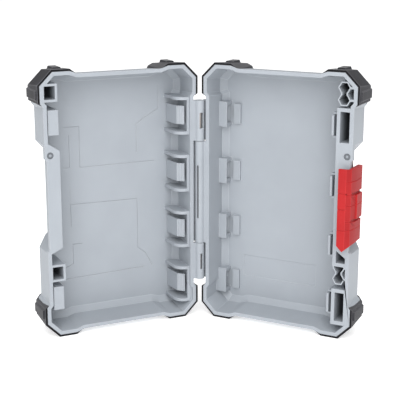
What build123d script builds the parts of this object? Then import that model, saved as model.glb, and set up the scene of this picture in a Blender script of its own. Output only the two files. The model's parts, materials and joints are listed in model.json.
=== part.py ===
from build123d import *
import math
import os

# Stackable tool case: two shells that open like a book on one long pin, black corner
# bumpers, a latch on its own pin, and spring clips that hold the inserts. Millimetres.
# The case stands on its short end, opened as far as open_angle, with the hinge axis on Z.
#
# Each piece is first drawn flat: X runs from the hinge axis to the opening side, Y runs up
# the case from the outer face of its bottom wall, and Z runs from the rim to the back.

# The case as a whole
shell_width = 129.0
shell_height = 211.8
shell_depth = 32.0
open_angle = 126.8
rim_gap = 0.3

# Walls of a shell
wall = 3.0
floor_wall = 2.5
back_chamfer = 7.5
inner_chamfer = 4.5
# How far the two end faces lean in, for each millimetre of depth
end_draft = 0.09

# Corner bulges of the walls, seen from the front
bulge = 2.2
bulge_chamfer = 10.6
bulge_end_flat = 22.5
bulge_end_reach = 29.0
bulge_side_flat = 22.2
bulge_side_reach = 24.8

# Corner bumpers
bumper_wall = 2.0
bumper_front = 0.6
bumper_back = 2.0
bumper_chamfer = 8.0
bumper_foot_width = 15.0
bumper_seat_gap = 0.05
bumper_lip = 0.4
end_foot_height = 0.2
end_foot_root = 0.3
end_foot_start = 12.5
end_foot_length = 6.5
end_foot_front = 12.0
end_foot_depth = 13.0
side_rib_height = 1.2
side_rib_start = 12.5
side_rib_length = 7.0
side_rib_front = 3.6
rib_slope = 1.0

# Hinge between the shells
hinge_offset = 5.6
barrel_radius = 3.9
pin_radius = 1.5
pin_clearance = 0.05
knuckle_gap = 0.4
hinge_start = 29.2
hinge_end = 27.8
lower_knuckle = 32.2
upper_knuckle = 34.3
pin_setback = 1.0
pin_chamfer = 0.3
# A ledge on each wall closes the view past the other shell's knuckles
ledge_clearance = 0.5
ledge_thickness = 2.2
ledge_reach = 0.7
# Windows that show the pin: how far each starts above its knuckle's foot, its length and width
lower_window = (8.8, 14.0, 2.0)
middle_window = (21.6, 46.0, 1.7)
upper_window = (10.7, 13.2, 3.3)

# Flange and recess for the latch, the same on both shells
flange_depth = 4.4
flange_setback = 1.5
recess_length = 89.3
recess_offset = 6.65
flange_below_latch = 1.4
flange_above_latch = 4.6
strip_foot = 4.0
strip_foot_slope = 0.47
strip_head = 5.7
strip_head_slope = 0.66
lid_inner_wall = 12.4
base_inner_wall = 14.1
inner_wall = 2.9
mark_drop = 8.9
mark_inset = 4.5
mark_radius = 2.7
mark_pip_radius = 1.2
mark_depth = 0.8

# Latch and its pin
latch_start = 4.5
latch_length = 67.2
latch_plate = 4.0
latch_clearance = 0.3
hook_reach = 7.2
hook_thickness = 2.4
# The outer face leans back from the hook's front edge in two steps
nose_reach = 4.9
nose_step = 1.6
nose_drop = 3.1
nose_depth = 11.1
pivot_inset = 5.3
pivot_depth = 13.2
lug_radius = 3.6
latch_tail = 17.0
latch_pin_radius = 1.5
latch_pin_seat = 2.5
latch_pin_play = 0.2
lug_below = 7.3
lug_above = 2.9
lug_setback = 0.4
hook_line_drop = 6.0
hook_line_width = 0.6
hook_line_depth = 0.5
pad_groove = 2.2
pad_groove_depth = 1.8
pad_step_depth = 1.2
pad_groove_front = -2.0
lower_pad = 23.6
middle_pad = 21.9
middle_pad_rise = 1.0
middle_pad_setback = 1.0
latch_slope = 4.6
latch_tail_cut = 6.2
latch_end_slope = 0.86

# Clip stations along the case
clip_first = 23.5
clip_last = 41.6
clip_count = 4

# Lid clips beside the hinge: a frame of two ribs and a ribbed tongue between them
clip_frame_span = 31.5
clip_rib = 2.5
clip_rib_reach = 11.0
clip_rib_front = 2.8
clip_rib_round = 9.0
clip_bar_reach = 1.5
clip_bar_depth = 2.0
tongue_width = 15.6
tongue_wall = 1.8
tongue_root_reach = 9.2
tongue_knee_reach = 7.4
tongue_knee_depth = 12.0
tongue_tip_reach = 2.2
tongue_tip_depth = 7.0
tongue_ridges = 5
tongue_knee_drop = 1.4
ridge_height = 0.45
# Where a ridge rises, falls and ends, as shares of its own length
ridge_rise = 0.25
ridge_fall = 0.6
ridge_end = 0.85
clip_seat_gap = 0.3

# Base loops beside the hinge and base tongues beside the opening
loop_span = 21.4
loop_reach = 7.0
loop_height = 10.0
loop_slot = 2.9
loop_strap = 1.2
loop_mouth_span = 15.0
loop_lip_reach = 6.2
loop_lip_span = 17.0
loop_lip_height = 2.7
base_tongue_span = 16.0
base_tongue_gap = 3.0
base_tongue_wall = 2.0
base_tongue_front = 2.4
# The head slopes from its front edge to a lip, and from the lip back to the tongue
head_lip = 0.9
head_lip_drop = 1.8
head_edge = 0.3
head_length = 3.0
base_clip_shift = 1.6
base_frame_gap = 0.6
base_frame_rib = 1.5
base_frame_reach = 4.6
base_frame_front = 5.0

# Lid sockets and pads at the opening side
socket_wall = 1.8
socket_width = 8.9
socket_height = 10.6
socket_inset = 0.4
socket_floor = 3.0
lower_socket_drop = 22.3
upper_socket_drop = 19.3
pad_front = 1.5
pad_width = 8.6
pad_gap = 0.9
lower_pad_start = 19.4
lower_pad_gap = 6.6
upper_pad_start = 6.9
upper_pad_gap = 8.5

# Base pockets at the opening side
pocket_wall_gap = 0.4
lower_pocket_start = 11.2
upper_pocket_start = 1.8
bar = 3.0
triangle_below = 7.3
triangle_above = 2.8
triangle_drop = 5.6
inner_wall_start = 8.0
inner_wall_end = 25.4
hex_radius = 4.25
hex_spacing = 9.7
hex_waist = 3.4
hex_wall = 1.1
hex_web = 1.6
hex_side_inset = 8.5
upper_hex_drop = 14.25
lower_hex_drop = 8.6
lower_hex_room = 16.5

# Shallow panels moulded in the floors and the backs
panel_step = 0.5
# Lines sunk in the lid's floor, as points from the opening face's line and the case's middle
line_width = 0.5
line_depth = 0.4
lid_lines = (
    ((25.6, 58.6), (38.6, 58.6), (38.6, 24.2), (105.6, 24.2)),
    ((29.6, 51.8), (29.6, 24.8), (25.1, 24.8)),
    ((89.3, 32.8), (89.3, 56.8), (96.6, 61.8), (109.6, 68.8), (109.6, 88.8)),
    ((29.6, -25.7), (29.6, -6.7), (89.3, -7.7), (89.3, -51.2), (96.6, -57.2), (102.6, -69.2)),
    ((38.6, -41.2), (30.6, -41.2), (30.6, -58.2), (21.6, -62.2)),
    ((23.6, -71.0), (94.6, -69.2)),
)
# Distances from the hinge axis, the opening face and the bottom
base_panel_margins = (28.4, 39.2, 27.5)
base_panel_height = 18.7
back_panel_margin = 20.0
back_panel_end_margin = 32.0
back_panel_depth = 0.8
back_rib_count = 5
back_rib_width = 3.0

# Worked out from the sizes above
rim = rim_gap / 2
floor_depth = shell_depth - floor_wall
face_hinge = hinge_offset
face_open = hinge_offset + shell_width
bumper_proud = bulge + bumper_wall
back_of_bumper = shell_depth + bumper_back
foot_drop = bumper_proud + end_foot_height
bore_radius = pin_radius + pin_clearance
clip_pitch = (shell_height - clip_first - clip_last) / (clip_count - 1)
clip_heights = [clip_first + clip_pitch * index for index in range(clip_count)]
recess_middle = shell_height / 2 + recess_offset
recess_bottom = recess_middle - recess_length / 2
recess_top = recess_middle + recess_length / 2
latch_bottom = recess_bottom + latch_start
latch_top = latch_bottom + latch_length
flange_bottom = latch_bottom - flange_below_latch
flange_top = latch_top + flange_above_latch
mark_height = recess_top - mark_drop
lower_socket = recess_bottom - lower_socket_drop
upper_socket = shell_height - upper_socket_drop
# Each socket's lower end, and how far its wall bulges out there
sockets = ((upper_socket, bulge), (lower_socket, 0.0))
lower_pad_span = (lower_pad_start, lower_socket - lower_pad_gap)
upper_pad_span = (recess_top + upper_pad_start, upper_socket - upper_pad_gap)
triangle_bottom = recess_bottom - triangle_below
triangle_top = recess_bottom + triangle_above
lower_hex = triangle_bottom - lower_hex_drop
upper_hex = shell_height - upper_hex_drop
inner_wall_top = shell_height - inner_wall_end
lower_pocket = (lower_pocket_start, lower_hex - lower_hex_room)
upper_pocket = (recess_top + upper_pocket_start, inner_wall_top - bar)
pivot_x = face_open - pivot_inset
flange_edge = face_open - flange_setback
FAR = 60.0


def polygon(points):
    return make_face(Polyline(*points, close=True))


def prism(points, front, back):
    face = Pos(0, 0, front) * polygon(points)
    return extrude(face, amount=back - front, dir=(0, 0, 1))


def block(x0, x1, y0, y1, z0, z1):
    centre = Pos((x0 + x1) / 2, (y0 + y1) / 2, (z0 + z1) / 2)
    return centre * Box(x1 - x0, y1 - y0, z1 - z0)


def bar_along_y(profile, y0, y1):
    # A profile of (X, Z) points, drawn out along Y from y0 to y1.
    plane = Plane(origin=(0, y0, 0), x_dir=(1, 0, 0), z_dir=(0, -1, 0))
    face = plane * make_face(profile)
    return extrude(face, amount=y1 - y0, dir=(0, 1, 0))


def rod(x, z, radius, y0, y1):
    return Pos(x, (y0 + y1) / 2, z) * Rot(90, 0, 0) * Cylinder(radius, y1 - y0)


def inset(points, distance):
    # Moves every side of a counter-clockwise outline inwards by the same distance.
    count = len(points)
    moved = []
    for index in range(count):
        x0, y0 = points[index - 1]
        x1, y1 = points[index]
        x2, y2 = points[(index + 1) % count]
        first = math.hypot(x1 - x0, y1 - y0)
        second = math.hypot(x2 - x1, y2 - y1)
        ax, ay = -(y1 - y0) / first, (x1 - x0) / first
        bx, by = -(y2 - y1) / second, (x2 - x1) / second
        scale = distance / (1 + ax * bx + ay * by)
        moved.append((x1 + (ax + bx) * scale, y1 + (ay + by) * scale))
    return moved


def corner_flat(proud):
    # Where a corner's slanted face starts, so that it stands out as far as the other faces do.
    return bulge_chamfer - bulge - (proud - bulge) * (math.sqrt(2) - 1)


def corner_points(proud):
    # Lower corner at the opening side, from the end wall round to the side wall, given as
    # distances inwards from the two straight faces.
    flat = corner_flat(proud)
    return [
        (bulge_end_reach, 0),
        (bulge_end_flat, -proud),
        (flat, -proud),
        (-proud, flat),
        (-proud, bulge_side_flat),
        (0, bulge_side_reach),
    ]


def place_corner(points, opening, top):
    # Puts corner distances at one of the four corners of the case.
    placed = []
    for inwards, upwards in points:
        x = face_open - inwards if opening else face_hinge + inwards
        y = shell_height - upwards if top else upwards
        placed.append((x, y))
    return placed


def outline():
    corner = corner_points(bulge)
    lower_open = place_corner(corner, True, False)
    upper_open = place_corner(corner, True, True)[::-1]
    upper_hinge = place_corner(corner, False, True)
    lower_hinge = place_corner(corner, False, False)[::-1]
    return lower_open + upper_open + upper_hinge + lower_hinge


def leaned(points, depth):
    # Both ends of an outline move inwards, as far as their draft takes them at this depth.
    shift = end_draft * depth
    return [(x, y + shift if y < shell_height / 2 else y - shift) for x, y in points]


def tapered(points, front, straight, back, chamfer):
    # A body with drafted ends from front to straight, and all its sides chamfered from there on.
    turn = leaned(points, straight)
    near = Pos(0, 0, front) * polygon(leaned(points, front))
    middle = Pos(0, 0, straight) * polygon(turn)
    far = Pos(0, 0, back) * polygon(inset(turn, chamfer))
    return loft([near, middle], ruled=True) + loft([middle, far], ruled=True)


def shell_envelope(front):
    return tapered(outline(), front, shell_depth - back_chamfer, shell_depth, back_chamfer)


def cavity():
    inner = inset(outline(), wall)
    return tapered(inner, -FAR, floor_depth - inner_chamfer, floor_depth, inner_chamfer)


def latch_recess(recess_face):
    # The side wall steps in behind the flange, so that a hook can reach behind it.
    outside = face_open + FAR
    outer_bottom = recess_bottom - (outside - face_open)
    outer_top = recess_top + (outside - face_open)
    depth = face_open - recess_face
    cut = prism(
        [
            (outside, outer_bottom),
            (outside, outer_top),
            (recess_face, recess_top - depth),
            (recess_face, recess_bottom + depth),
        ],
        flange_depth,
        FAR,
    )
    edge = prism(
        [
            (outside, flange_bottom - flange_setback),
            (outside, flange_top + flange_setback),
            (face_open, flange_top + flange_setback),
            (flange_edge, flange_top),
            (flange_edge, flange_bottom),
            (face_open, flange_bottom - flange_setback),
        ],
        -FAR,
        flange_depth + rim,
    )
    return cut + edge


def mark():
    # The round mark beside the latch: a ring sunk in the flange.
    x = face_open - mark_inset
    ring = Cylinder(mark_radius, mark_depth * 2) - Cylinder(mark_pip_radius, mark_depth * 4)
    return Pos(x, mark_height, rim) * ring


def knuckle(y0, y1, window):
    # One knuckle: its barrel, the web that joins it to the wall, its bore and its window.
    barrel = rod(0, 0, barrel_radius, y0, y1)
    web = block(0, face_hinge + wall / 2, y0, y1, rim, barrel_radius)
    start, length, width = window
    low = y0 + start
    opening = block(-width / 2, width / 2, low, low + length, -barrel_radius * 2, 0)
    return barrel + web - rod(0, 0, bore_radius, y0 - 1, y1 + 1) - opening


def ledge(y0, y1):
    front = barrel_radius + ledge_clearance
    return block(ledge_reach, face_hinge + wall / 2, y0, y1, front, front + ledge_thickness)


def knuckle_joints():
    # Heights where the lid's lower knuckle ends and where its upper one starts.
    return hinge_start + lower_knuckle, shell_height - hinge_end - upper_knuckle


def back_relief():
    # A sunk field in the back, crossed by flat ribs left standing.
    x0, x1 = face_hinge + back_panel_margin, face_open - back_panel_margin
    y0, y1 = back_panel_end_margin, shell_height - back_panel_end_margin
    field = block(x0, x1, y0, y1, shell_depth - back_panel_depth, FAR)
    step = (y1 - y0) / (back_rib_count + 1)
    for index in range(back_rib_count):
        middle = y0 + step * (index + 1)
        half = back_rib_width / 2
        field -= block(x0 - 1, x1 + 1, middle - half, middle + half, 0, FAR)
    return field


def opening_strip(inner_face, y0, y1, slope0, slope1):
    # The solid strip inside the opening wall that backs the flange and the recess.
    edge = face_open + bulge
    rise = edge - inner_face
    return prism(
        [
            (edge, y0 - slope0 * rise),
            (edge, y1 + slope1 * rise),
            (inner_face, y1),
            (inner_face, y0),
        ],
        -FAR,
        FAR,
    )


def clip_frame(middle):
    # Two ribs from the hinge wall to the floor, with a rounded front corner.
    x0 = face_hinge - bulge
    x1 = face_hinge + wall + clip_rib_reach
    deep = floor_depth + floor_wall / 2
    corner = clip_rib_front + clip_rib_round
    bend = clip_rib_round * (1 - math.sqrt(0.5))
    profile = (
        Line((x0, deep), (x0, clip_rib_front))
        + Line((x0, clip_rib_front), (x1 - clip_rib_round, clip_rib_front))
        + ThreePointArc(
            (x1 - clip_rib_round, clip_rib_front),
            (x1 - bend, clip_rib_front + bend),
            (x1, corner),
        )
        + Line((x1, corner), (x1, deep))
        + Line((x1, deep), (x0, deep))
    )
    half = clip_frame_span / 2
    lower = bar_along_y(profile, middle - half, middle - half + clip_rib)
    upper = bar_along_y(profile, middle + half - clip_rib, middle + half)
    bar_end = face_hinge + wall + clip_bar_reach
    bar_back = clip_rib_front + clip_bar_depth
    return lower + upper + block(x0, bar_end, middle - half, middle + half, clip_rib_front, bar_back)


def square_socket(low, reach):
    # An upright square tube against the opening wall.
    x0 = face_open + reach - wall - socket_inset - socket_width
    return block(
        x0 - socket_wall,
        face_open + bulge,
        low - socket_wall,
        low + socket_height + socket_wall,
        rim,
        floor_depth + floor_wall / 2,
    )


def socket_hole(low, reach):
    # The hole of a square socket, down to the socket's floor.
    x1 = face_open + reach - wall - socket_inset
    return block(
        x1 - socket_width, x1, low, low + socket_height, -FAR, floor_depth - socket_floor
    )


def lid_pad(span):
    low, high = span
    x1 = face_open - wall - pad_gap
    return block(x1 - pad_width, x1, low, high, pad_front, floor_depth + floor_wall / 2)


def sunk_line(start, end):
    # One straight stretch of a line in the floor, a line's width longer than its points.
    x0, y0 = face_open - start[0], shell_height / 2 + start[1]
    x1, y1 = face_open - end[0], shell_height / 2 + end[1]
    length = math.hypot(x1 - x0, y1 - y0) + line_width
    angle = math.degrees(math.atan2(y1 - y0, x1 - x0))
    centre = Pos((x0 + x1) / 2, (y0 + y1) / 2, floor_depth)
    return centre * Rot(0, 0, angle) * Box(length, line_width, line_depth * 2)


def lid_shell():
    inner_face = face_open - lid_inner_wall
    foot, head = recess_bottom + strip_foot, recess_top - strip_head
    strip = opening_strip(inner_face, foot, head, strip_foot_slope, strip_head_slope)
    hollow = cavity() - strip
    envelope = shell_envelope(rim)
    fittings = [clip_frame(middle + base_clip_shift / 2) for middle in clip_heights]
    fittings += [lid_pad(span) for span in (lower_pad_span, upper_pad_span)]
    fittings += [square_socket(low, reach) for low, reach in sockets]
    shell = (envelope - hollow) + (Part() + fittings & envelope)
    for low, reach in sockets:
        shell -= socket_hole(low, reach)
    shell -= latch_recess(inner_face + inner_wall)
    for points in lid_lines:
        for start, end in zip(points, points[1:]):
            shell -= sunk_line(start, end)
    shell -= mark()
    shell -= back_relief()
    low, high = knuckle_joints()
    half = knuckle_gap / 2
    shell += knuckle(hinge_start, low - half, lower_window)
    shell += knuckle(high + half, shell_height - hinge_end, upper_window)
    return shell + ledge(low + half, high - half)


def hexagon(x, y, radius):
    points = []
    for index in range(6):
        angle = math.radians(60 * index)
        points.append((x + radius * math.cos(angle), y + radius * math.sin(angle)))
    return points


def hex_pair(x, y, grow, back):
    # Two six-sided holes that meet in a waist. Grow widens them into their own wall.
    half = hex_spacing / 2
    radius = hex_radius + grow
    waist = hex_waist / 2 + grow
    shape = prism(hexagon(x, y + half, radius), rim, back)
    shape += prism(hexagon(x, y - half, radius), rim, back)
    shape += block(x - waist, x + waist, y - half, y + half, rim, back)
    return shape


def base_clip_frame(middle, inner_face):
    # Two low ribs that keep a base tongue's sides.
    near = base_tongue_span / 2 + base_frame_gap
    far = near + base_frame_rib
    x0, x1 = inner_face - base_frame_reach, inner_face + inner_wall / 2
    deep = floor_depth + floor_wall / 2
    upper = block(x0, x1, middle + near, middle + far, base_frame_front, deep)
    return upper + block(x0, x1, middle - far, middle - near, base_frame_front, deep)


def loop_mouth(middle):
    # The hollow under a loop's strap, open towards the middle of the case.
    x1 = face_hinge + wall + loop_reach
    half = loop_mouth_span / 2
    front = floor_depth - loop_height + loop_strap
    return block(face_hinge + wall + loop_strap, x1, middle - half, middle + half, front, floor_depth)


def base_shell():
    inner_face = face_open - base_inner_wall
    pocket_face = inner_face + inner_wall
    outer_face = face_open - wall - pocket_wall_gap
    deep = floor_depth + floor_wall / 2
    strip = opening_strip(inner_face, inner_wall_start, inner_wall_top, 0, 0)
    gap = block(inner_face - 1, face_open, lower_pocket[1] + bar, triangle_bottom - bar, -FAR, FAR)
    hollow = cavity() - (strip - gap)
    envelope = shell_envelope(rim)
    outside = face_open + bulge
    fittings = []
    for middle in clip_heights:
        x1 = face_hinge + wall + loop_reach
        half = loop_span / 2
        loop_front = floor_depth - loop_height
        loop = block(face_hinge - bulge, x1, middle - half, middle + half, loop_front, deep)
        fittings.append(loop - loop_mouth(middle))
        lip = x1 + loop_slot
        lip_end = lip + loop_lip_reach
        half = loop_lip_span / 2
        lip_front = floor_depth - loop_lip_height
        fittings.append(block(lip, lip_end, middle - half, middle + half, lip_front, deep))
        fittings.append(base_clip_frame(middle + base_clip_shift, inner_face))
    hex_x = face_open - hex_side_inset
    for middle in (upper_hex, lower_hex):
        fittings.append(hex_pair(hex_x, middle, hex_wall, deep))
        for hexagon_y in (middle - hex_spacing / 2, middle + hex_spacing / 2):
            half = hex_web / 2
            fittings.append(block(hex_x, outside, hexagon_y - half, hexagon_y + half, rim, deep))
    bar_low = triangle_bottom - bar
    fittings.append(block(inner_face, outside, bar_low, triangle_bottom, rim, deep))
    shell = (envelope - hollow) + (Part() + fittings & envelope)
    crossbar = block(0, outside, bar_low, triangle_bottom, rim, deep)
    for middle in (upper_hex, lower_hex):
        shell -= hex_pair(hex_x, middle, 0, floor_depth - socket_floor) - crossbar
    for low, high in (lower_pocket, upper_pocket):
        shell -= block(pocket_face, outer_face, low, high, -FAR, floor_depth - socket_floor)
    shell -= prism(
        [
            (pocket_face, triangle_bottom),
            (outer_face, triangle_bottom),
            (outer_face, triangle_top - triangle_drop),
            (pocket_face, triangle_top),
        ],
        -FAR,
        floor_depth - socket_floor,
    )
    shell -= latch_recess(pocket_face)
    x0, from_open, y0 = base_panel_margins
    x1, y1 = face_open - from_open, y0 + base_panel_height
    shell -= block(x0, x1, y0, y1, 0, floor_depth + panel_step)
    shell -= mark()
    shell -= back_relief()
    low, high = knuckle_joints()
    half = knuckle_gap / 2
    shell += knuckle(low + half, high - half, middle_window)
    shell += ledge(hinge_start, low - half)
    shell += ledge(high + half, shell_height - hinge_end)
    shell -= rod(pivot_x, pivot_depth, latch_pin_radius + pin_clearance, *latch_pin_span())
    return shell


def latch_pin_span():
    # The pin's ends sit in the sloped ends of the recess.
    low = recess_bottom + pivot_inset - latch_pin_seat
    high = recess_top - pivot_inset + latch_pin_seat
    return low, high


def bumper(opening, top):
    # A boot over one corner: its sides, its leaning edge and a foot on the back.
    corner = corner_points(bumper_proud)
    corner[0] = (bulge_end_reach, bumper_lip)
    corner[-1] = (bumper_lip, bulge_side_reach)
    foot = bumper_foot_width
    edge = corner + [(foot, bulge_side_reach), (foot, foot), (bulge_end_reach, foot)]
    points = place_corner(edge, opening, top)
    boot = prism(points, bumper_front, back_of_bumper)
    outer = bumper_proud
    flat = corner_flat(outer)
    octagon = [(face_hinge + flat, -outer), (face_open - flat, -outer)]
    octagon += [(face_open + outer, flat), (face_open + outer, shell_height - flat)]
    octagon += [(face_open - flat, shell_height + outer), (face_hinge + flat, shell_height + outer)]
    octagon += [(face_hinge - outer, shell_height - flat), (face_hinge - outer, flat)]
    straight = back_of_bumper - bumper_chamfer
    boot &= tapered(octagon, 0, straight, back_of_bumper, bumper_chamfer)
    seat = inset(outline(), -bumper_seat_gap)
    back = shell_depth + bumper_seat_gap
    boot -= tapered(seat, -1, back - back_chamfer, back, back_chamfer)
    boot += corner_rib(opening, top, True)
    boot += corner_rib(opening, top, False)
    return boot


def corner_rib(opening, top, on_end):
    # A raised foot on the end face, or a raised rib on the side face, with sloped sides.
    if on_end:
        start, length, rise = end_foot_start, end_foot_length, end_foot_height
        front, depth = end_foot_front, end_foot_depth
        root = -bumper_proud + end_draft * (front + depth) + end_foot_root
    else:
        start, length, rise = side_rib_start, side_rib_length, side_rib_height
        front = side_rib_front
        depth = back_of_bumper - bumper_chamfer - front
        root = -bumper_proud + bumper_wall / 2
    peak = -bumper_proud - rise
    rib = [
        (start - rib_slope, root),
        (start, peak),
        (start + length, peak),
        (start + length + rib_slope, root),
    ]
    if not on_end:
        rib = [(up, along) for along, up in rib]
    return prism(place_corner(rib, opening, top), front, front + depth)


def latch():
    inner = flange_edge + latch_clearance
    outer = inner + latch_plate
    hook_back = -(flange_depth + latch_clearance)
    hook_front = hook_back - hook_thickness
    lug_low = pivot_depth - lug_radius
    profile = Polyline(
        (flange_edge - hook_reach, hook_front),
        (outer - nose_reach, hook_front),
        (outer - nose_step, hook_front + nose_drop),
        (outer, hook_front + nose_depth),
        (outer, latch_tail),
        (inner, latch_tail),
        (inner, hook_back),
        (flange_edge - hook_reach, hook_back),
        close=True,
    )
    body = bar_along_y(profile, latch_bottom, latch_top)
    lug_bottom, lug_top = latch_bottom + lug_below, latch_top - lug_above
    body += block(pivot_x, inner + 1, lug_bottom, lug_top, lug_low, latch_tail - lug_setback)
    body += rod(pivot_x, pivot_depth, lug_radius, lug_bottom, lug_top)
    lower_pad_top = latch_bottom + lower_pad
    middle_pad_top = lower_pad_top + middle_pad
    # The grip: three pads, the middle one highest, with a groove above and below it.
    body += block(
        outer - 1, outer + middle_pad_rise, lower_pad_top + pad_groove, middle_pad_top,
        hook_front + nose_depth, latch_tail - middle_pad_setback,
    )
    for low in (lower_pad_top, middle_pad_top):
        body -= prism(
            [
                (outer + FAR, low),
                (outer + FAR, low + pad_groove),
                (outer - pad_groove_depth, low + pad_groove),
                (outer - pad_groove_depth, low + pad_groove / 2),
                (outer - pad_step_depth, low),
            ],
            pad_groove_front,
            FAR,
        )
    # The lower end leans in towards the hook and towards the tail.
    lean = prism(
        [
            (flange_edge - hook_reach - 1, latch_bottom - 1),
            (flange_edge - hook_reach + latch_slope, latch_bottom - 1),
            (flange_edge - hook_reach + latch_slope, latch_bottom),
            (flange_edge - hook_reach, latch_bottom + latch_slope),
            (flange_edge - hook_reach - 1, latch_bottom + latch_slope),
        ],
        hook_front - 1,
        hook_back + latch_clearance / 2,
    )
    body -= lean
    turn = flange_edge - hook_reach + latch_slope
    reach = outer + middle_pad_rise - turn
    body -= prism(
        [
            (turn, latch_bottom),
            (turn, latch_bottom - 1),
            (turn + reach, latch_bottom - 1),
            (turn + reach, latch_bottom + reach * latch_end_slope),
        ],
        -FAR,
        FAR,
    )
    # The tail is cut short at its lower end, so that it clears the recess as it swings in.
    tail_low = latch_bottom + latch_tail_cut
    body -= block(0, outer + FAR, latch_bottom - 1, tail_low, lug_low, FAR)
    # Three thin lines cross the front of the hook.
    lines = (lower_pad_top - hook_line_drop, lower_pad_top + middle_pad / 2, middle_pad_top + pad_groove)
    for height in lines:
        low, high = height - hook_line_width / 2, height + hook_line_width / 2
        body -= block(0, outer + FAR, low, high, hook_front - 1, hook_front + hook_line_depth)
    body -= rod(pivot_x, pivot_depth, latch_pin_radius + pin_clearance, latch_bottom - 1, latch_top + 1)
    return body


def lid_clip(middle):
    # An L-shaped tongue: it rises from the floor and leans to the hinge wall in a thumb pad.
    wall_face = face_hinge + wall
    root = wall_face + tongue_root_reach
    knee = wall_face + tongue_knee_reach
    tip = wall_face + tongue_tip_reach
    foot = floor_depth - clip_seat_gap
    run = (knee - tip) / tongue_ridges
    climb = (tongue_knee_depth - tongue_tip_depth) / tongue_ridges
    slope = math.hypot(run, climb)
    nx, nz = climb / slope * ridge_height, -run / slope * ridge_height
    points = [(root, foot), (knee, tongue_knee_depth)]
    for index in range(tongue_ridges):
        x = knee - run * index
        z = tongue_knee_depth - climb * index
        points.append((x - run * ridge_rise + nx, z - climb * ridge_rise + nz))
        points.append((x - run * ridge_fall + nx, z - climb * ridge_fall + nz))
        points.append((x - run * ridge_end, z - climb * ridge_end))
    points.append((tip, tongue_tip_depth))
    points.append((tip, tongue_tip_depth + tongue_wall))
    points.append((knee - tongue_wall, tongue_knee_depth + tongue_knee_drop))
    points.append((root - tongue_wall, foot))
    half = tongue_width / 2
    return bar_along_y(Polyline(*points, close=True), middle - half, middle + half)


def base_clip(middle):
    # A straight tongue beside the inner wall of the opening side, with a sloped head.
    x1 = face_open - base_inner_wall - base_tongue_gap
    x0 = x1 - base_tongue_wall
    foot = floor_depth - clip_seat_gap
    head = base_tongue_front
    profile = Polyline(
        (x0, foot),
        (x0, head + head_length),
        (x0 - head_lip, head + head_lip_drop),
        (x0 + head_edge, head),
        (x1, head),
        (x1, foot),
        close=True,
    )
    half = base_tongue_span / 2
    return bar_along_y(profile, middle - half, middle + half)


def hinge_pin():
    low = hinge_start + pin_setback
    high = shell_height - hinge_end - pin_setback
    return chamfer(rod(0, 0, pin_radius, low, high).edges(), pin_chamfer)


def latch_pin():
    low, high = latch_pin_span()
    pin = rod(pivot_x, pivot_depth, latch_pin_radius, low + latch_pin_play, high - latch_pin_play)
    return chamfer(pin.edges(), pin_chamfer)


def on_base(piece):
    # Stands a flat piece up on the fixed side of the case.
    upright = Rot(90, 0, 0) * piece
    return Pos(0, 0, foot_drop) * mirror(upright, about=Plane.XZ)


def on_lid(piece):
    # Stands a flat piece up on the swinging side, opened to the resting angle.
    upright = Rot(90, 0, 0) * piece
    return Rot(0, 0, -open_angle) * (Pos(0, 0, foot_drop) * upright)


def write_all(pieces):
    # The row's origin is the middle of the whole open case, on the floor.
    boxes = [piece.bounding_box() for piece, colour in pieces.values()]
    x = (min(box.min.X for box in boxes) + max(box.max.X for box in boxes)) / 2
    y = (min(box.min.Y for box in boxes) + max(box.max.Y for box in boxes)) / 2
    z = min(box.min.Z for box in boxes)
    for name, (piece, colour) in pieces.items():
        moved = Pos(-x, -y, -z) * piece
        moved.label = name
        moved.color = Color(*colour)
        export_step(moved, os.path.join("parts", name + ".step"))
    print("hinge axis at", round(-x, 4), round(-y, 4), "and floor at", round(-z, 4))


shell_colour = (0.72, 0.76, 0.80)
bumper_colour = (0.10, 0.10, 0.11)
latch_colour = (0.86, 0.12, 0.12)
steel_colour = (0.50, 0.48, 0.46)

os.makedirs("parts", exist_ok=True)
pieces = {
    "base_shell": (on_base(base_shell()), shell_colour),
    "lid_shell": (on_lid(lid_shell()), shell_colour),
    "hinge_pin": (on_base(hinge_pin()), steel_colour),
    "latch": (on_base(latch()), latch_colour),
    "latch_pin": (on_base(latch_pin()), steel_colour),
}
for opening, side in ((False, "hinge"), (True, "latch")):
    for top, end in ((False, "lower"), (True, "upper")):
        boot = bumper(opening, top)
        pieces["base_bumper_" + end + "_" + side] = (on_base(boot), bumper_colour)
        pieces["lid_bumper_" + end + "_" + side] = (on_lid(boot), bumper_colour)
for index, height in enumerate(clip_heights):
    number = str(index + 1)
    pieces["lid_clip_" + number] = (on_lid(lid_clip(height + base_clip_shift / 2)), shell_colour)
    pieces["base_clip_" + number] = (on_base(base_clip(height + base_clip_shift)), shell_colour)
write_all(pieces)
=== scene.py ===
import bpy
import bmesh
import json
import math
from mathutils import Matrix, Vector


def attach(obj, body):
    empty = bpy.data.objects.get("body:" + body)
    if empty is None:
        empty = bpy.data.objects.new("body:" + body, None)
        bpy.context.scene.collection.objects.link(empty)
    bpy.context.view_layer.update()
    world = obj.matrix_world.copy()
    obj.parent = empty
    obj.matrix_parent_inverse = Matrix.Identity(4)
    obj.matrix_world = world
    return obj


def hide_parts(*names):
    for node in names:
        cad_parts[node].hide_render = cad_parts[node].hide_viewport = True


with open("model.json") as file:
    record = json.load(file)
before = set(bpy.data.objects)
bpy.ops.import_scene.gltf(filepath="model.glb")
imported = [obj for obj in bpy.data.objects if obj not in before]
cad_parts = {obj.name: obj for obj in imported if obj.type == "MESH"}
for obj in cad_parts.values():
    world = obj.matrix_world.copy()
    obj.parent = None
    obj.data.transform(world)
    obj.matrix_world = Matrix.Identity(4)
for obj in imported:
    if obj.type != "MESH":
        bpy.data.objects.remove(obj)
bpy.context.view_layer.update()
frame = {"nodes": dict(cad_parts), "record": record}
print("packed case loaded:", len(frame["nodes"]), "nodes")


def newMaterial(name):
    made = bpy.data.materials.new(name)
    made.use_nodes = True
    made.node_tree.nodes.clear()
    return made


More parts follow.
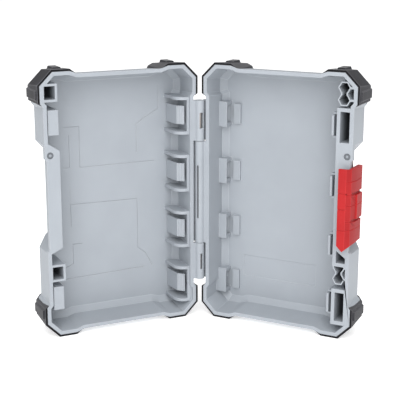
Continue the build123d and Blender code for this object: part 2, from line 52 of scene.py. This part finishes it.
def addNode(made, kind, **values):
    # Each value is one of the node's own settings or one of its sockets
    node = made.node_tree.nodes.new(kind)
    for key, value in values.items():
        if hasattr(node, key):
            setattr(node, key, value)
        else:
            node.inputs[key].default_value = value
    return node


def join(made, source, target):
    made.node_tree.links.new(source, target)


def remap(made, source, low, high, toLow, toHigh):
    # Stretches one range of a value over another
    node = addNode(made, "ShaderNodeMapRange")
    node.inputs["From Min"].default_value = low
    node.inputs["From Max"].default_value = high
    node.inputs["To Min"].default_value = toLow
    node.inputs["To Max"].default_value = toHigh
    join(made, source, node.inputs["Value"])
    return node.outputs["Result"]


def blendColour(made, amount, first, second):
    # Colours are fixed values or the outputs of other nodes
    node = addNode(made, "ShaderNodeMix", data_type="RGBA")
    join(made, amount, node.inputs[0])
    for colour, socket in ((first, node.inputs[6]), (second, node.inputs[7])):
        if isinstance(colour, tuple):
            socket.default_value = colour
        else:
            join(made, colour, socket)
    return node.outputs[2]


def showSurface(made, shader):
    output = addNode(made, "ShaderNodeOutputMaterial")
    join(made, shader.outputs["BSDF"], output.inputs["Surface"])


def dressShader(made, shader, colour, rough, bump):
    join(made, colour, shader.inputs["Base Color"])
    join(made, rough, shader.inputs["Roughness"])
    join(made, bump.outputs["Normal"], shader.inputs["Normal"])
    showSurface(made, shader)


plasticPattern = {  # the same on every plastic
    "cloudDetail": 3.0,
    "cloudRange": (0.38, 0.62),
    "flowDetail": 2.0,
    "flowDistortion": 1.2,
    "edgeHighlightPatches": (0.30, 0.70),
    "grainDetail": 2.0,
    "grainHeight": 0.0002,
}

shellLook = {
    "colour": (0.286, 0.309, 0.338, 1.0),
    "paleColour": (0.304, 0.328, 0.358, 1.0),
    "edgeHighlightColour": (0.56, 0.58, 0.61, 1.0),
    "roughness": (0.44, 0.56),
    "specular": 0.35,
    "cloudScale": 22.0,
    "grainScale": 2600.0,
    "grainBump": 0.06,
    "flowScale": 9.0,
    "edgeHighlightRange": (0.10, 0.40),
    # painted shade for sockets, ring marks and floor lines
    "paintedShadeColour": (0.085, 0.094, 0.106, 1.0),
    "paintedShadeRange": (0.01, 0.62),
}

bumperLook = {
    "colour": (0.0095, 0.0095, 0.0130, 1.0),
    "paleColour": (0.017, 0.017, 0.0225, 1.0),
    "edgeHighlightColour": (0.085, 0.085, 0.094, 1.0),
    "roughness": (0.46, 0.60),
    "specular": 0.28,
    "cloudScale": 60.0,
    "grainScale": 3400.0,
    "grainBump": 0.20,
    "flowScale": 14.0,
    "edgeHighlightRange": (0.35, 0.90),
}

shadedLipLook = dict(bumperLook)  # the bumpers' front faces, smoother, and blacker by painted shade
shadedLipLook.update({
    "colour": (0.0040, 0.0040, 0.0048, 1.0),
    "paleColour": (0.0060, 0.0060, 0.0070, 1.0),
    "specular": 0.10,
    "grainBump": 0.08,
})

litCrownLook = dict(bumperLook)  # the bumpers' top and bottom faces, paler by painted highlight, and glossier
litCrownLook.update({
    "colour": (0.016, 0.016, 0.021, 1.0),
    "paleColour": (0.026, 0.026, 0.033, 1.0),
    "roughness": (0.30, 0.42),
    "specular": 0.85,
    "grainBump": 0.08,
})

latchLook = {
    "colour": (0.325, 0.0062, 0.0078, 1.0),
    "paleColour": (0.362, 0.0085, 0.010, 1.0),
    "edgeHighlightColour": (0.52, 0.05, 0.05, 1.0),
    "roughness": (0.40, 0.50),
    "specular": 0.25,
    "cloudScale": 40.0,
    "grainScale": 3000.0,
    "grainBump": 0.05,
    "flowScale": 10.0,
    "edgeHighlightRange": (0.15, 0.50),
}

shadedGripLook = dict(latchLook)  # the latch's outer faces, darker by painted shade, and coarser
shadedGripLook.update({
    "colour": (0.270, 0.0045, 0.006, 1.0),
    "paleColour": (0.315, 0.0075, 0.009, 1.0),
    "roughness": (0.46, 0.58),
    "grainBump": 0.16,
})

pinLook = {
    "colour": (0.27, 0.245, 0.23, 1.0),
    "paleColour": (0.42, 0.385, 0.365, 1.0),
    "roughness": (0.30, 0.48),
    "drawScale": (900.0, 900.0, 25.0),  # lines run along the wire
    "lineDetail": 3.0,
    "lineHeight": 0.0001,
    "bump": 0.12,
}


def mouldedPlastic(name, look, highlitEdges=False):
    made = newMaterial(name)
    place = addNode(made, "ShaderNodeTexCoord").outputs["Object"]
    cloud = addNode(
        made, "ShaderNodeTexNoise", Scale=look["cloudScale"], Detail=plasticPattern["cloudDetail"]
    )
    flow = addNode(
        made, "ShaderNodeTexNoise", Scale=look["flowScale"], Detail=plasticPattern["flowDetail"],
        Distortion=plasticPattern["flowDistortion"],
    )
    grain = addNode(
        made, "ShaderNodeTexNoise", Scale=look["grainScale"], Detail=plasticPattern["grainDetail"]
    )
    for texture in (cloud, flow, grain):
        join(made, place, texture.inputs["Vector"])
    patchy = remap(made, cloud.outputs["Fac"], *plasticPattern["cloudRange"], 0.0, 1.0)
    body = blendColour(made, patchy, look["colour"], look["paleColour"])
    if highlitEdges:  # the rounded edges, paler in patches as a painted highlight
        highlightAmount = remap(made, flow.outputs["Fac"], *plasticPattern["edgeHighlightPatches"], *look["edgeHighlightRange"])
        body = blendColour(made, highlightAmount, body, look["edgeHighlightColour"])
    if "paintedShadeColour" in look:  # painted shade in sockets, darker with depth
        shade = addNode(made, "ShaderNodeAttribute", attribute_name="paintedHoleShade")
        deep = remap(made, shade.outputs["Fac"], *look["paintedShadeRange"], 0.0, 1.0)
        body = blendColour(made, deep, body, look["paintedShadeColour"])
    rough = remap(made, flow.outputs["Fac"], 0.0, 1.0, *look["roughness"])
    bump = addNode(
        made, "ShaderNodeBump", Strength=look["grainBump"], Distance=plasticPattern["grainHeight"]
    )
    join(made, grain.outputs["Fac"], bump.inputs["Height"])
    shader = addNode(made, "ShaderNodeBsdfPrincipled")
    shader.inputs["Specular IOR Level"].default_value = look["specular"]
    dressShader(made, shader, body, rough, bump)
    return made


def drawnSteel(name, look):
    made = newMaterial(name)
    place = addNode(made, "ShaderNodeTexCoord").outputs["Object"]
    stretch = addNode(made, "ShaderNodeMapping", Scale=look["drawScale"])
    join(made, place, stretch.inputs["Vector"])
    lines = addNode(made, "ShaderNodeTexNoise", Scale=1.0, Detail=look["lineDetail"])
    join(made, stretch.outputs["Vector"], lines.inputs["Vector"])
    tint = blendColour(made, lines.outputs["Fac"], look["colour"], look["paleColour"])
    rough = remap(made, lines.outputs["Fac"], 0.0, 1.0, *look["roughness"])
    bump = addNode(made, "ShaderNodeBump", Strength=look["bump"], Distance=look["lineHeight"])
    join(made, lines.outputs["Fac"], bump.inputs["Height"])
    shader = addNode(made, "ShaderNodeBsdfPrincipled", Metallic=1.0)
    dressShader(made, shader, tint, rough, bump)
    return made


# Each list starts with the plain faces; these are the places of the others in it
edgeSlot = 1
shadedLipSlot = 2
litCrownSlot = 3
shadedGripSlot = 2

shellPlastic = [
    mouldedPlastic("shellPlastic", shellLook),
    mouldedPlastic("shellEdge", shellLook, highlitEdges=True),
]
bumperRubber = [
    mouldedPlastic("bumperRubber", bumperLook),
    mouldedPlastic("bumperEdge", bumperLook, highlitEdges=True),
    mouldedPlastic("bumperLipShade", shadedLipLook),
    mouldedPlastic("bumperCrownHighlight", litCrownLook),
]
latchPlastic = [
    mouldedPlastic("latchPlastic", latchLook),
    mouldedPlastic("latchEdge", latchLook, highlitEdges=True),
    mouldedPlastic("latchGripShade", shadedGripLook),
]
pinSteel = drawnSteel("pinSteel", pinLook)
print("materials ready")


# Places on a shell are measured across from the hinge axis, up from the foot and back from the rim
hinge = next(joint for joint in frame["record"]["behaviour"]["joints"] if joint["name"] == "lid_hinge")
hingeLine = Vector(hinge["pos_m"])
closing = math.radians(max(hinge["range_deg"]))
across = {
    "base": (Vector((1.0, 0.0, 0.0)), Vector((0.0, 1.0, 0.0))),
    "lid": (
        Vector((math.cos(closing), -math.sin(closing), 0.0)),
        Vector((-math.sin(closing), -math.cos(closing), 0.0)),
    ),
}


def onShell(body, point):
    # A point of the frame as its distance across, its height and its depth behind the rim
    sideways, backwards = across[body]
    offset = point - hingeLine
    return offset.dot(sideways), point.z, offset.dot(backwards)


# Sockets and pockets given painted shade inside, in metres; the painted shade is the depth over
# socketDepth
socketDepth = 0.0265
socketHoles = {
    "lid_shell": [
        {"across": (0.1223, 0.1312), "up": (0.0500, 0.0606)},
        {"across": (0.1245, 0.1334), "up": (0.1969, 0.2075)},
    ],
    "base_shell": [
        {"across": (0.1234, 0.1312), "up": (0.0156, 0.0399)},
        {"across": (0.1234, 0.1312), "up": (0.0650, 0.0751)},
        {"across": (0.1234, 0.1312), "up": (0.1634, 0.1878)},
        {"across": (0.1218, 0.1304), "up": (0.0478, 0.0620)},
        {"across": (0.1218, 0.1304), "up": (0.1934, 0.2106)},
    ],
}
socketFaces = {
    "slack": 0.0001,
    "leastDepth": 0.0005,
    "towardsRim": 0.5,  # how squarely the end of a socket faces the rim
}
# A ring mark on each flange; its groove and its pip get painted shade
ringMark = {
    "across": 0.1301,
    "up": 0.1527,
    "radius": 0.0028,
    "depth": (0.0001, 0.0011),
    "shade": 0.50,
    "pipWithin": 0.0002,  # the pip's top is this close to the rim and to the middle
    "pipShade": 0.20,
}
# The floor's sunk lines get a light painted shade
floorLines = {"across": (0.016, 0.122), "depth": (0.02955, 0.02998), "shade": 0.15}


def inSocket(node, body, spot, normal):
    # Whether a face lines one of the sockets, and so looks inwards across it or out of it
    reach, height, depth = spot
    sideways, backwards = across[body]
    slack = socketFaces["slack"]
    if depth <= socketFaces["leastDepth"]:
        return False
    for hole in socketHoles[node]:
        low, high = hole["across"]
        bottom, top = hole["up"]
        if low - slack < reach < high + slack and bottom - slack < height < top + slack:
            inward = normal.dot(sideways) * ((low + high) / 2 - reach)
            inward += normal.z * ((bottom + top) / 2 - height)
            if inward > 0.0 or normal.dot(backwards) < -socketFaces["towardsRim"]:
                return True
    return False


def paintHoleShade(work, node, body):
    layer = work.loops.layers.float.new("paintedHoleShade")
    shallowMark, deepMark = ringMark["depth"]
    shallowLine, deepLine = floorLines["depth"]
    nearLine, farLine = floorLines["across"]
    for face in work.faces:
        spot = onShell(body, face.calc_center_median())
        reach, height, depth = spot
        fromMark = math.hypot(reach - ringMark["across"], height - ringMark["up"])
        if shallowMark < depth < deepMark and fromMark < ringMark["radius"]:
            onPip = max(depth, fromMark) < ringMark["pipWithin"]
            for corner in face.loops:
                corner[layer] = ringMark["pipShade"] if onPip else ringMark["shade"]
        elif shallowLine < depth < deepLine and nearLine < reach < farLine:
            for corner in face.loops:
                corner[layer] = floorLines["shade"]
        elif inSocket(node, body, spot, face.normal):
            for corner in face.loops:
                corner[layer] = onShell(body, corner.vert.co)[2] / socketDepth


latchOuter = {"nearest": 0.1326, "facing": 0.3}

# Lines moulded across the latch's outer face, in metres: their middle's height, and the depths
# behind the rim between which they run
latchLines = {
    "lines": [
        {"up": 0.0946, "width": 0.0007, "from": -0.0068, "to": 0.0150},
        {"up": 0.1015, "width": 0.0013, "from": -0.0068, "to": -0.0022},
        {"up": 0.1144, "width": 0.0007, "from": -0.0068, "to": 0.0150},
        {"up": 0.1234, "width": 0.0013, "from": -0.0068, "to": -0.0022},
        {"up": 0.1340, "width": 0.0007, "from": -0.0068, "to": 0.0150},
    ],
    "push": Vector((-0.00045, 0.00019, 0.0)),
    "tilt": 0.3,  # steeper faces than this aren't sunk
    "cutGap": 0.000001,
}


def onLatchOuter(face):
    reach = onShell("base", face.calc_center_median())[0]
    return face.normal.x > latchOuter["facing"] and reach > latchOuter["nearest"]


def cutLatch(work, place, way):
    # Cuts the latch's outer faces along a plane
    touched = [face for face in work.faces if onLatchOuter(face)]
    pieces = set(touched)
    for face in touched:
        pieces.update(face.edges)
        pieces.update(face.verts)
    bmesh.ops.bisect_plane(
        work, geom=list(pieces), plane_co=place, plane_no=way, dist=latchLines["cutGap"]
    )


def sinkLines(work):
    upwards = Vector((0.0, 0.0, 1.0))
    backwards = across["base"][1]
    for line in latchLines["lines"]:
        bottom = line["up"] - line["width"] / 2
        top = line["up"] + line["width"] / 2
        cutLatch(work, upwards * bottom, upwards)
        cutLatch(work, upwards * top, upwards)
        cutLatch(work, hingeLine + backwards * line["from"], backwards)
        cutLatch(work, hingeLine + backwards * line["to"], backwards)
        sunk = []
        for face in work.faces:
            height, depth = onShell("base", face.calc_center_median())[1:]
            inside = bottom < height < top and line["from"] < depth < line["to"]
            outward = face.normal.x > latchOuter["facing"]
            if inside and outward and abs(face.normal.z) < latchLines["tilt"]:
                sunk.append(face)
        grown = bmesh.ops.extrude_face_region(work, geom=sunk)
        moved = [part for part in grown["geom"] if isinstance(part, bmesh.types.BMVert)]
        bmesh.ops.translate(work, verts=moved, vec=latchLines["push"])
        bmesh.ops.delete(work, geom=sunk, context="FACES")


def markShadedGrip(work):
    # the sideways-facing outer faces take the material with painted shade
    for face in work.faces:
        if onLatchOuter(face):
            face.material_index = shadedGripSlot


bumperFaces = {"shadedLipFacing": 0.7, "litCrownFacing": 0.8}


def markBumper(work, body):
    backwards = across[body][1]
    # Forward-facing faces take the painted-shade lip, upright-facing ones the painted-highlight crown
    for face in work.faces:
        if face.normal.dot(backwards) < -bumperFaces["shadedLipFacing"]:
            face.material_index = shadedLipSlot
        elif abs(face.normal.z) > bumperFaces["litCrownFacing"]:
            face.material_index = litCrownSlot


roundings = {
    "shell": {"width": 0.00018, "segments": 2},
    "bumper": {"width": 0.00035, "segments": 2},
    "latch": {"width": 0.00022, "segments": 2},
    "clip": {"width": 0.00015, "segments": 2},
}
mergeGap = 0.000002
flatAngle = math.radians(0.6)  # neighbouring facets flatter than this become one face
sharpAngle = math.radians(25)
creaseAngle = math.radians(11)  # between this and sharpAngle an edge stays a crisp line, unrounded
evenWeight = 100  # large faces decide how the rounded edges beside them are lit


def mergedCopy(node):
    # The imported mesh, its doubles merged and its flat facets made one face
    work = bmesh.new()
    work.from_mesh(frame["nodes"][node].data)
    bmesh.ops.remove_doubles(work, verts=work.verts, dist=mergeGap)
    bmesh.ops.dissolve_limit(
        work, angle_limit=flatAngle, verts=work.verts, edges=work.edges,
        use_dissolve_boundaries=False,
    )
    return work


def keepCreases(work):
    for edge in work.edges:
        if len(edge.link_faces) == 2:
            edge.smooth = not creaseAngle < edge.calc_face_angle() < sharpAngle


def softenEdges(piece, rounding):
    soften = piece.modifiers.new("softEdges", "BEVEL")
    soften.width = rounding["width"]
    soften.segments = rounding["segments"]
    soften.limit_method = "ANGLE"
    soften.angle_limit = sharpAngle
    soften.use_clamp_overlap = False
    # the rounded edges take the second material, with its painted highlight
    soften.material = edgeSlot
    even = piece.modifiers.new("evenShading", "WEIGHTED_NORMAL")
    even.mode = "FACE_AREA"
    even.weight = evenWeight
    even.keep_sharp = True


def roundedCopy(node, body, plastic, rounding):
    work = mergedCopy(node)
    if "bumper" in node:
        markBumper(work, body)
    if node == "latch":
        sinkLines(work)
        markShadedGrip(work)
    keepCreases(work)
    if node in socketHoles:
        paintHoleShade(work, node, body)
    mesh = bpy.data.meshes.new(node + "_rounded")
    work.to_mesh(mesh)
    work.free()
    piece = bpy.data.objects.new(node + "_rounded", mesh)
    bpy.context.scene.collection.objects.link(piece)
    for material in plastic:
        mesh.materials.append(material)
    for face in mesh.polygons:
        face.use_smooth = True
    softenEdges(piece, rounding)
    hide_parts(node)
    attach(piece, body)


for body, nodes in frame["record"]["behaviour"]["bodies"].items():
    for node in nodes:
        if "pin" in node:
            wire = frame["nodes"][node].data
            wire.materials.clear()
            wire.materials.append(pinSteel)
        elif "bumper" in node:
            roundedCopy(node, body, bumperRubber, roundings["bumper"])
        elif node == "latch":
            roundedCopy(node, body, latchPlastic, roundings["latch"])
        elif "clip" in node:
            roundedCopy(node, body, shellPlastic, roundings["clip"])
        else:
            roundedCopy(node, body, shellPlastic, roundings["shell"])
print("case pieces ready")


stageSet = {
    "floorSize": 40.0,
    "floorColour": (0.93, 0.93, 0.93, 1.0),
    "floorRoughness": 0.9,
    "floorGlow": 0.50,
}

floorWork = bmesh.new()
bmesh.ops.create_grid(floorWork, x_segments=1, y_segments=1, size=stageSet["floorSize"])
floorMesh = bpy.data.meshes.new("floor")
floorWork.to_mesh(floorMesh)
floorWork.free()
floor = bpy.data.objects.new("floor", floorMesh)
bpy.context.scene.collection.objects.link(floor)
floorPaint = newMaterial("floorPaint")
floorShader = addNode(floorPaint, "ShaderNodeBsdfPrincipled", Roughness=stageSet["floorRoughness"])
floorShader.inputs["Base Color"].default_value = stageSet["floorColour"]
floorShader.inputs["Emission Color"].default_value = stageSet["floorColour"]
floorShader.inputs["Emission Strength"].default_value = stageSet["floorGlow"]
showSurface(floorPaint, floorShader)
floorMesh.materials.append(floorPaint)

studio = {"colour": (1.0, 1.0, 1.0, 1.0), "strength": 0.60}
world = bpy.data.worlds.new("studio")
world.use_nodes = True
background = world.node_tree.nodes["Background"]
background.inputs["Color"].default_value = studio["colour"]
background.inputs["Strength"].default_value = studio["strength"]
bpy.context.scene.world = world

lamps = {
    "keyLamp": {"place": (0.67, -1.34, 0.95), "aim": (0.0, 0.0, 0.1), "size": 1.5, "power": 28.0},
    "topLamp": {"place": (0.1, -0.5, 1.9), "aim": (0.0, 0.0, 0.1), "size": 1.2, "power": 14.0},
}
for name, lamp in lamps.items():
    light = bpy.data.lights.new(name, "AREA")
    light.size = lamp["size"]
    light.energy = lamp["power"]
    holder = bpy.data.objects.new(name, light)
    holder.location = lamp["place"]
    aim = Vector(lamp["aim"]) - Vector(lamp["place"])
    holder.rotation_euler = aim.to_track_quat("-Z", "Y").to_euler()
    bpy.context.scene.collection.objects.link(holder)

viewpoint = {
    "place": (0.3852, -0.7295, 0.3208),
    "heading": (-0.4639, 0.8859),
    "pitch": math.radians(14.11),  # below the level
    "lens": 94.73,
    "sensorWidth": 36.0,
    "clipStart": 0.01,
}
camera = bpy.data.cameras.new("camera")
camera.lens = viewpoint["lens"]
camera.sensor_width = viewpoint["sensorWidth"]
camera.clip_start = viewpoint["clipStart"]
cameraObject = bpy.data.objects.new("camera", camera)
cameraObject.location = viewpoint["place"]
level = math.cos(viewpoint["pitch"])
gaze = Vector(
    (viewpoint["heading"][0] * level, viewpoint["heading"][1] * level, -math.sin(viewpoint["pitch"]))
)
cameraObject.rotation_euler = gaze.to_track_quat("-Z", "Y").to_euler()
bpy.context.scene.collection.objects.link(cameraObject)
bpy.context.scene.camera = cameraObject
bpy.context.scene.view_settings.view_transform = "Standard"
print("stage, lamps and camera ready")
